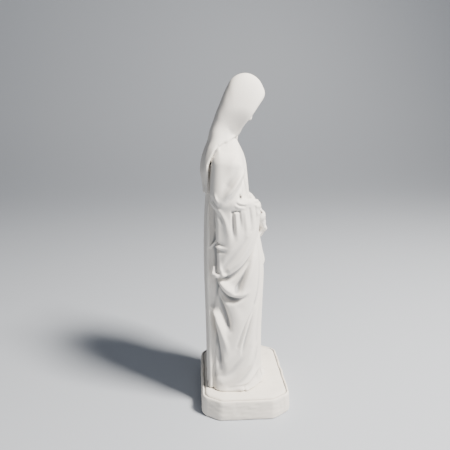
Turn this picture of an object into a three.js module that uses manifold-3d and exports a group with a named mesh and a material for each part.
// Standing Madonna in cast plaster: head bowed under a veil, hands folded below the waist, wide
// hanging sleeves, a mantle down the back, on an eight-sided plinth with a raised rim.
// Frame: millimetres, +Z up, origin under the middle of the plinth. The figure faces -Y, so its
// own right hand is towards -X. The castings stand a slip-filled gap apart on an iron wire.

import * as THREE from "three";
import { LoftGeometry } from "three/addons/geometries/LoftGeometry.js";
import { mergeVertices } from "three/addons/utils/BufferGeometryUtils.js";
import Module from "manifold-3d";

const wasm = await Module();
wasm.setup();

// ---------------------------------------------------------------- driving dimensions

const gap = 0.3; // slip joint between two castings

const plinthWidth = 99; // along X, at the foot
const plinthDepth = 82; // along Y, at the foot
const plinthHeight = 19;
const plinthCornerX = 10.5; // legs of the cut corner
const plinthCornerY = 17;
const plinthBatter = 0.8; // how far the rim stands in from the foot
const footRounding = 2.4;
const rimWidth = 2.6;
const recessDepth = 8;
const groundRise = 1; // the ground stands this far above the rim
const groundEdge = 1.2; // rounding of the ground's edge

const figureHeight = 280; // from the ground to the crown of the veil
const figureBack = 2.4; // the figure stands this far behind the middle of the plinth
const headTilt = 32; // degrees forward
const mantleThickness = 3;
const veilThickness = 2;
const pleatDepth = 1.3;

const rodRadius = 1.5; // iron wire up the middle
const rodY = 12.4;
const pinRadius = 0.8; // iron wire in each wrist
const anchorRadius = 8;
const anchorHeight = 4;

// The sculptor's tables below are for a figure of this height, and are enlarged with it.
const modelledHeight = 280;
const scale = figureHeight / modelledHeight;
const groundTop = plinthHeight + groundRise;

// ---------------------------------------------------------------- curves and lofts

const at = (x, y, height) =>
  new THREE.Vector3(x * scale, y * scale + figureBack, groundTop + height * scale);
const radians = THREE.MathUtils.degToRad;
const signedPower = (value, power) => Math.sign(value) * Math.abs(value) ** power;

// Reads a table of rows [position, value, value, ...] with a smooth curve through its rows.
function read(table, position) {
  const last = table.length - 1;
  let i = 0;
  while (i < last - 1 && position > table[i + 1][0]) i++;
  const [a, b] = [table[i], table[i + 1]];
  const [before, after] = [table[Math.max(i - 1, 0)], table[Math.min(i + 2, last)]];
  const span = b[0] - a[0];
  const t = THREE.MathUtils.clamp((position - a[0]) / span, 0, 1);
  return a.slice(1).map((value, k) => {
    const start = ((b[k + 1] - before[k + 1]) / (b[0] - before[0])) * span;
    const end = ((after[k + 1] - value) / (after[0] - a[0])) * span;
    const [t2, t3] = [t * t, t * t * t];
    return (
      value * (2 * t3 - 3 * t2 + 1) +
      b[k + 1] * (3 * t2 - 2 * t3) +
      start * (t3 - 2 * t2 + t) +
      end * (t3 - t2)
    );
  });
}

const steps = (from, to, count) =>
  Array.from({ length: count + 1 }, (_, i) => from + ((to - from) * i) / count);

const ring = (count) => steps(0, 2 * Math.PI, count).slice(0, count);

// A closed geometry as a solid for cutting and joining.
function solid(geometry) {
  const bare = new THREE.BufferGeometry();
  bare.setAttribute("position", geometry.attributes.position);
  bare.setIndex(geometry.index);
  const merged = mergeVertices(bare, 1e-4);
  const triVerts = new Uint32Array(merged.index.array);
  const vertProperties = new Float32Array(merged.attributes.position.array);
  return new wasm.Manifold(new wasm.Mesh({ numProp: 3, vertProperties, triVerts }));
}

// Skins closed sections, which may run either way round.
function loft(sections) {
  const [first, second] = sections;
  const facing = new THREE.Vector3();
  first.forEach((point, i) => facing.add(point.clone().cross(first[(i + 1) % first.length])));
  const forward = facing.dot(second[0].clone().sub(first[0])) > 0;
  const ordered = forward ? sections : sections.map((section) => section.slice().reverse());
  return solid(new LoftGeometry(ordered, { capStart: true, capEnd: true }));
}

// The largest body of a cut, without the crumbs that a cut leaves.
const main = (made) => made.decompose().sort((a, b) => b.volume() - a.volume())[0];

function geometryOf(made) {
  const mesh = made.getMesh();
  const geometry = new THREE.BufferGeometry();
  geometry.setAttribute("position", new THREE.BufferAttribute(mesh.vertProperties, 3));
  geometry.setIndex(new THREE.BufferAttribute(mesh.triVerts, 1));
  geometry.computeVertexNormals();
  return geometry;
}

// A round bar along a smooth path through points, each row [x, y, height, radius].
function limb(rows, sides, lengths, grow = 0) {
  const path = new THREE.CatmullRomCurve3(rows.map(([x, y, height]) => at(x, y, height)));
  const radii = rows.map((row, i) => [i / (rows.length - 1), row[3] * scale]);
  const across = new THREE.Vector3();
  const over = new THREE.Vector3();
  return loft(
    steps(0, 1, lengths).map((t) => {
      const centre = path.getPoint(t);
      const along = path.getTangent(t);
      across.crossVectors(along, new THREE.Vector3(1, 0, 0)).normalize();
      over.crossVectors(along, across).normalize();
      const radius = read(radii, t)[0] + grow;
      const end = t === 0 || t === 1 ? grow * (t === 0 ? -1 : 1) : 0;
      return ring(sides).map((turn) =>
        centre
          .clone()
          .addScaledVector(across, radius * Math.cos(turn))
          .addScaledVector(over, radius * Math.sin(turn))
          .addScaledVector(along, end),
      );
    }),
  );
}

// An egg with its middle at [x, y, height], tilted forward by some degrees.
function egg([x, y, height], [rx, ry, rz], tilt, grow = 0) {
  const geometry = new THREE.SphereGeometry(1, 16, 10);
  geometry.scale(rx * scale + grow, ry * scale + grow, rz * scale + grow);
  geometry.rotateX(radians(tilt));
  const middle = at(x, y, height);
  return solid(geometry.translate(middle.x, middle.y, middle.z));
}

function bar(radius, x, y, from, to) {
  const geometry = new THREE.CylinderGeometry(radius, radius, to - from, 16);
  return solid(geometry.rotateX(Math.PI / 2).translate(x, y, (from + to) / 2));
}

// ---------------------------------------------------------------- plinth and ground

// Eight-sided outline that stands in from the plinth's foot by some distance.
function octagon(inset, height) {
  const [x, y] = [plinthWidth / 2 - inset, plinthDepth / 2 - inset];
  const spare = plinthCornerX + plinthCornerY - Math.hypot(plinthCornerX, plinthCornerY);
  const cutX = plinthCornerX - (inset * spare) / plinthCornerY;
  const cutY = plinthCornerY - (inset * spare) / plinthCornerX;
  return [
    [x, y - cutY],
    [x - cutX, y],
    [-x + cutX, y],
    [-x, y - cutY],
    [-x, -y + cutY],
    [-x + cutX, -y],
    [x - cutX, -y],
    [x, -y + cutY],
  ].map(([px, py]) => new THREE.Vector3(px, py, height));
}

function plinth() {
  const rounding = steps(0, Math.PI / 2, 3).map((turn) =>
    octagon(footRounding * (1 - Math.sin(turn)), footRounding * (1 - Math.cos(turn))),
  );
  const wall = octagon(plinthBatter, plinthHeight - footRounding / 2);
  const lip = octagon(plinthBatter + footRounding / 2, plinthHeight);
  const recess = loft([
    octagon(plinthBatter + rimWidth - gap, plinthHeight - recessDepth),
    octagon(plinthBatter + rimWidth - gap, plinthHeight + 1),
  ]);
  return loft([...rounding, wall, lip])
    .subtract(recess)
    .subtract(bar(rodRadius + gap, 0, rodY, 0, plinthHeight))
    .subtract(bar(anchorRadius + gap, 0, rodY, -1, anchorHeight + gap));
}

function groundSlab() {
  const inset = plinthBatter + rimWidth;
  return loft([
    octagon(inset, plinthHeight - recessDepth + gap),
    octagon(inset, groundTop - groundEdge),
    octagon(inset + groundEdge, groundTop),
  ]).subtract(bar(rodRadius + gap, 0, rodY, 0, groundTop + 1));
}

// ---------------------------------------------------------------- dress: skirt and bodice

// Height above the ground, front, back, half width, squareness of the back half.
const dressTable = [
  [-2, -20.6, 29.8, 34.2, 5],
  [20, -20, 29.8, 33, 5],
  [50, -19.6, 30.2, 31.8, 5],
  [80, -20.6, 30.6, 31.6, 5],
  [110, -21, 31, 31.6, 5],
  [130, -19.6, 31, 31, 5],
  [150, -15.6, 30.6, 29.4, 5],
  [165, -11, 30, 28, 5],
  [180, -7.2, 29, 26.6, 4.6],
  [195, -5.2, 28.5, 26.2, 4],
  [207, -3.4, 28.2, 26.2, 3.2],
  [212, -2.2, 27.4, 24.4, 2.8],
  [218, 0, 25, 20, 2.4],
  [223, 2.5, 22, 14.6, 2.2],
  [227, 4.6, 19.4, 11, 2.2],
  [229, 5.6, 18.4, 9.6, 2.2],
];
const waist = 150;
const neckTop = 229;
const frontSquareness = 2.4; // 2 is a plain ellipse

// A point on the dress. turn runs from the front (0) by the figure's right side (a quarter turn).
function dressPoint(turn, height, grow = 0, pleats = 0) {
  const [front, back, half, backSquareness] = read(dressTable, height);
  const fold = pleats * 0.5 * (1 + Math.cos(11 * turn)) * Math.max(0, Math.cos(turn));
  const power = 2 / (Math.cos(turn) > 0 ? frontSquareness : backSquareness);
  const x = -(half * scale + grow - fold) * signedPower(Math.sin(turn), power);
  const depth = ((back - front) / 2) * scale + grow - fold;
  const y = ((back + front) / 2) * scale - depth * signedPower(Math.cos(turn), power);
  return new THREE.Vector3(x, y + figureBack, groundTop + height * scale);
}

// The heights at which every layer of cloth has a section, so that the layers run parallel.
const courses = (from, to) => {
  const between = steps(0, 240, 24).filter((height) => height > from + 1 && height < to - 1);
  return [from, ...between, to];
};

function dress(from, to, grow = 0, pleats = 0) {
  return loft(
    courses(from, to).map((height) =>
      ring(40).map((turn) => dressPoint(turn, height, grow, pleats)),
    ),
  );
}

// ---------------------------------------------------------------- mantle and veil

// Height, turn of the mantle's front edge in degrees, share of its full thickness.
const mantleTable = [
  [0, 140, 1.1],
  [60, 140, 1],
  [120, 140, 1],
  [160, 139, 1],
  [176, 138, 0.95],
  [188, 136, 0.6],
  [212, 130, 0.5],
];
const mantleTop = 212;

function mantle(grow = 0) {
  return loft(
    courses(gap / scale, mantleTop).map((height) => {
      const [edge, share] = read(mantleTable, height);
      const [from, to] = [radians(edge - grow * 2), radians(360 - edge + grow * 2)];
      const layer = (out) =>
        steps(from, to, 14).map((turn) => dressPoint(turn, height, out + grow));
      return [...layer(gap + mantleThickness * share), ...layer(-mantleThickness).reverse()];
    }),
  );
}

// Each row is one arch of the veil from the face to the hem: the place of its two feet (y, height),
// the top of its arch (y, height), the half width at its feet, the greatest half width, and how
// square the arch is.
const veilTable = [
  [4.3, 226.8, -19.2, 264.5, 9, 12.5, 2.5],
  [5.5, 226.9, -16.6, 270.1, 9.5, 14.5, 2.5],
  [7, 226.9, -10.5, 276.5, 10, 15.8, 2.5],
  [8.5, 226.7, -2.1, 279.6, 10.5, 16.5, 2.5],
  [10, 226.4, 4.5, 278.2, 11, 16.8, 2.5],
  [12, 226, 9.7, 274.8, 12, 16.9, 2.5],
  [14, 225.5, 13.8, 267.6, 13.5, 17, 2.5],
  [16, 225, 18.1, 257.9, 15.5, 17.4, 2.5],
  [18.5, 224, 23.2, 245.7, 18.5, 19, 2.5],
  [21.5, 222, 27.6, 233.2, 22, 22, 2.7],
  [25, 218.5, 31.1, 220.5, 26, 26, 3],
  [28.8, 208.5, 34.4, 208, 29, 29, 3.6],
  [30, 198, 35.7, 199, 30, 30, 4],
  [29.6, 181, 34.6, 181, 29.6, 29.6, 4],
];

function veil() {
  const rows = veilTable.map((row, i) => [i, ...row]);
  return loft(
    steps(0, rows.length - 1, 18).map((position) => {
      const [footY, footHeight, topY, topHeight, footHalf, half, square] = read(rows, position);
      const foot = at(0, footY, footHeight);
      const rise = at(0, topY, topHeight).sub(foot);
      const length = rise.length();
      rise.normalize();
      const arch = (inset) =>
        steps(0, Math.PI, 16).map((turn) => {
          const up = signedPower(Math.sin(turn), 2 / square) * (length - inset);
          const spread = THREE.MathUtils.smoothstep(up, 0, 0.6 * length);
          const side = THREE.MathUtils.lerp(footHalf, half, spread) * scale - inset;
          const point = foot.clone().addScaledVector(rise, up);
          point.x = signedPower(Math.cos(turn), 2 / square) * side;
          return point;
        });
      return [...arch(0), ...arch(veilThickness).reverse()];
    }),
  );
}

// ---------------------------------------------------------------- head, sleeves, hands, feet

const neckPath = [
  [0, 13.5, 219, 8],
  [0, 11.5, 228, 7.4],
  [0, 6, 243, 7.2],
];

function head(grow = 0) {
  const skull = egg([0, 0.8, 258], [12.2, 12.8, 14.2], headTilt, grow);
  const jaw = egg([0, -0.6, 248.6], [9.4, 10.4, 11.6], headTilt, grow);
  const nose = egg([0, -10.6, 248.6], [1.6, 2.2, 3.6], headTilt + 22, grow);
  return skull.add(jaw).add(nose).add(limb(neckPath, 14, 4, grow));
}

// Upper arm: height, middle x, middle y, half width, half depth.
const armTable = [
  [168, 27.5, 14.5, 6, 8],
  [176, 29.6, 15, 9, 10.8],
  [190, 29.3, 14.2, 9.2, 11.6],
  [203, 27.6, 13.4, 9.2, 11.8],
  [212, 24.6, 12.8, 8.4, 10.6],
  [217, 21, 12.6, 6, 7.6],
];
// Forearm with the cloth that hangs from it, elbow to wrist: x, y, top, bottom, half thickness at
// the arm and at the hem.
const drapeTable = [
  [0, 30.2, 23, 174, 114, 7, 3],
  [1, 31.2, 13, 177, 114.6, 8, 3.6],
  [2, 29.4, 3, 178, 122, 8, 3.4],
  [3, 24.6, -5.4, 177, 136, 7.6, 3],
  [4, 17.6, -11.6, 173.4, 148.6, 6.6, 3],
  [5, 10.4, -14.8, 169, 156, 5.4, 3.6],
];

function sleeve(side, grow = 0) {
  const [bottom, top] = [armTable[0][0], armTable[armTable.length - 1][0]];
  const arm = loft(
    steps(bottom - grow, top + grow, 9).map((height) => {
      const [x, y, halfWidth, halfDepth] = read(armTable, height);
      return ring(18).map((turn) => {
        const point = at(side * x, y, height);
        point.x += (halfWidth * scale + grow) * Math.cos(turn);
        point.y += (halfDepth * scale + grow) * Math.sin(turn);
        return point;
      });
    }),
  );
  const drape = loft(
    steps(0, drapeTable.length - 1, 10).map((position) => {
      const [x, y, high, low, thick, hem] = read(drapeTable, position);
      const [nextX, nextY] = read(drapeTable, position + 0.01);
      const [lastX, lastY] = read(drapeTable, position - 0.01);
      const along = new THREE.Vector2(nextX - lastX, nextY - lastY).normalize();
      const end = grow * (position === 0 ? -1 : position === drapeTable.length - 1 ? 1 : 0);
      return ring(16).map((turn) => {
        const rise = 0.5 + 0.5 * Math.sin(turn);
        const width = THREE.MathUtils.lerp(hem, thick, rise) * scale + grow;
        const point = at(side * x, y, THREE.MathUtils.lerp(low, high, rise));
        const out = width * Math.cos(turn);
        point.x += side * (out * -along.y + end * along.x);
        point.y += out * along.x + end * along.y;
        point.z += grow * Math.sin(turn);
        return point;
      });
    }),
  );
  return arm.add(drape);
}

// Hands: rows [x, y, height, radius] for the wrist and palm, the fingers and the thumb. x is
// towards the hand's own side, and the right hand lies over the left.
const palm = [
  [11.5, -13, 164, 3.6],
  [8, -15.2, 160.6, 3.8],
  [4.4, -17, 156.4, 4.8],
  [1.6, -18.2, 151.6, 4.4],
];
const thumb = [
  [5.6, -18.4, 160, 2],
  [2.4, -20.2, 157.4, 1.8],
  [-0.6, -20.4, 153.4, 1.4],
];
const fingerSpread = [-3.6, -1.2, 1.2, 3.6];
const fingerRadius = 1.6;
const rightOverLeft = 3.2;

const finger = (across) => [
  [2.4 + across * 0.8, -18.4, 153 + across * 0.5, fingerRadius + 0.2],
  [0.2 + across * 0.9, -19.4, 146.6 + across * 0.4, fingerRadius],
  [-1.6 + across, -18.8, 139.6 + across * 0.7, fingerRadius * 0.75],
];

// Puts the rows of a hand or of its wire on the left or the right.
const handed = (rows, side) =>
  rows.map(([x, y, height, radius]) => [
    side * x,
    y - (side < 0 ? rightOverLeft : 0),
    height,
    radius,
  ]);

function hand(side, grow = 0) {
  const digits = [...fingerSpread.map(finger), thumb];
  const wrist = limb(handed(palm, side), 10, 4, grow);
  return digits.reduce((made, rows) => made.add(limb(handed(rows, side), 6, 3, grow)), wrist);
}

// The wire that holds a hand to its sleeve.
function wristPin(side, grow = 0) {
  const radius = pinRadius / scale;
  const rows = [
    [17, -10.4, 166, radius],
    [8, -15.2, 160.6, radius],
    [4.6, -17, 156.6, radius],
  ];
  return limb(handed(rows, side), 8, 5, grow);
}

const foot = (side, grow = 0) => egg([side * 8, -17.4, 1.4], [4.4, 7, 3.6], 0, grow);

// ---------------------------------------------------------------- cutting the castings to fit

const rodTop = groundTop + 238 * scale;
const rodBottom = anchorHeight + 2 * gap;
const rod = bar(rodRadius, 0, rodY, rodBottom, rodTop);
const rodBore = bar(rodRadius + gap, 0, rodY, 0, rodTop + gap);
const sides = { right: -1, left: 1 };

const dressSpace = dress(-2, neckTop + 2, gap);
const rightHandSpace = hand(sides.right, gap);
const handSpace = rightHandSpace.add(hand(sides.left, gap));
const mantleSpace = mantle(gap);
const headSpace = head(gap);
const sleeveSpace = sleeve(sides.right, gap).add(sleeve(sides.left, gap));
const pinSpace = wristPin(sides.right, gap).add(wristPin(sides.left, gap));
const underGround = loft([octagon(0, 0), octagon(0, groundTop + gap)]);

const plaster = () =>
  new THREE.MeshStandardMaterial({ color: 0xe9e4da, roughness: 0.85, metalness: 0 });
const iron = () =>
  new THREE.MeshStandardMaterial({ color: 0x6f6c68, roughness: 0.5, metalness: 0.9 });

const statue = new THREE.Group();

function add(name, made, material = plaster()) {
  const mesh = new THREE.Mesh(geometryOf(main(made)), material);
  mesh.name = name;
  statue.add(mesh);
}

add("plinth", plinth());
add("ground_slab", groundSlab());
add("skirt", dress(gap / scale, waist, 0, pleatDepth).subtract(rodBore));
add(
  "bodice",
  dress(waist + gap / scale, neckTop).subtract(rodBore).subtract(headSpace).subtract(pinSpace),
);
add("mantle", mantle().subtract(dressSpace));
add("head", head().subtract(rodBore));
add(
  "veil",
  veil().subtract(headSpace).subtract(dressSpace).subtract(mantleSpace).subtract(sleeveSpace),
);
for (const [name, side] of Object.entries(sides)) {
  const arm = sleeve(side).subtract(dressSpace).subtract(mantleSpace);
  add(`${name}_sleeve`, arm.subtract(handSpace).subtract(pinSpace));
  const palmAndFingers = hand(side).subtract(dressSpace).subtract(pinSpace);
  add(`${name}_hand`, side < 0 ? palmAndFingers : palmAndFingers.subtract(rightHandSpace));
  add(`${name}_foot`, foot(side).subtract(dressSpace).subtract(underGround));
  add(`${name}_wrist_pin`, wristPin(side), iron());
}
add("armature_rod", rod, iron());
add("rod_anchor", bar(anchorRadius, 0, rodY, 0, anchorHeight));

export default statue;
